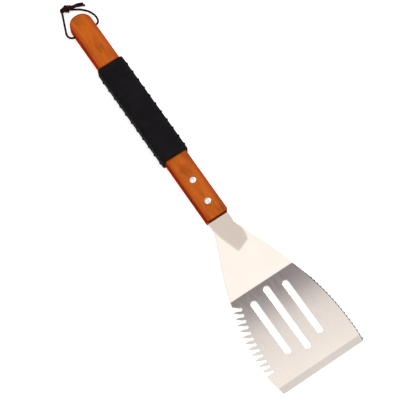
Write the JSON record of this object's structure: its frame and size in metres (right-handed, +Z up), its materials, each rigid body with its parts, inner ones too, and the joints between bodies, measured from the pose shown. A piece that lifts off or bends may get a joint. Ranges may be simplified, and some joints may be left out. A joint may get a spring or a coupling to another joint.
{
  "type": "grill spatula",
  "caption": "Long-handled grill turner with a slotted stainless blade, comb and serrated edges, riveted wooden handle, ribbed grip sleeve and leather hanging thong.",
  "frame": {"origin": "centre of the turner's footprint, without the thong, on the surface that it lies on", "axes": "+Y from the handle's butt to the blade's front edge, +Z up out of the face that lifts the food, +X to the comb side"},
  "size_m": [0.0983, 0.4615, 0.0218],
  "materials": {
    "steel": "bright satin stainless sheet, smooth neck and finely brushed blade",
    "wood": "orange-brown stained hardwood under satin lacquer, grain along the handle",
    "aluminium": "plain bright rivet metal",
    "rubber": "matte black moulded rubber with low rings",
    "leather": "dark brown round lace, dull"
  },
  "bodies": {
    "turner": {"head": "steel", "handle": "wood", "rivet_front": "aluminium", "rivet_rear": "aluminium", "grip_sleeve": "rubber"},
    "thong": {"thong_left": "leather", "thong_right": "leather", "thong_knot": "leather", "thong_tail_left": "leather", "thong_tail_right": "leather"}
  },
  "joints": [
    {"name": "thong_swing", "type": "hinge", "parent": "turner", "child": "thong", "pos_m": [0, -0.20265, 0.0109], "axis": [1, 0, 0], "range_deg": [-165, 130]}
  ]
}
